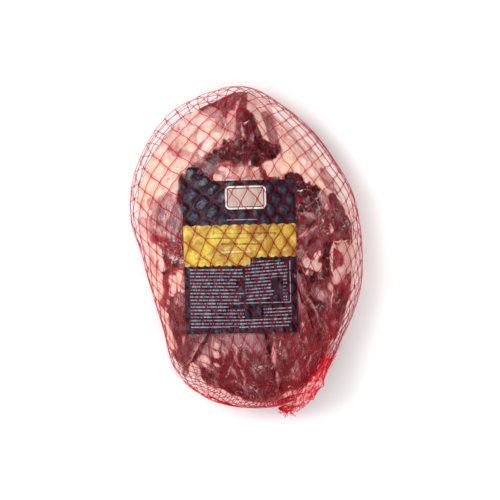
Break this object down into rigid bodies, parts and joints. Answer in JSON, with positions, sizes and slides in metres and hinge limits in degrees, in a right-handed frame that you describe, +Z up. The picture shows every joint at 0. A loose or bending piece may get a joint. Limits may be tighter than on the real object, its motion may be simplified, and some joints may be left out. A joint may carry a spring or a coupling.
{
  "type": "boneless cured shoulder ham in film and net",
  "caption": "Oval boneless cured shoulder ham, vacuum packed in clear film with a dark printed label on top, inside a red mesh net gathered at one corner.",
  "frame": {"origin": "middle of the pack seen from above, on the surface it lies on", "axes": "+X to the right of the label as read, +Y towards the shank end above the label, +Z up out of the label's face"},
  "size_m": [0.2131, 0.3011, 0.0728],
  "materials": {
    "netted_ham": null,
    "label": "printed plastic label, dark navy with a golden yellow band and fine pale rules, softly glossy, creased",
    "meat": null,
    "film": null,
    "net": "extruded red plastic mesh, satin"
  },
  "bodies": {
    "root": {"netted_ham": "netted_ham", "label": "label"}
  },
  "joints": []
}
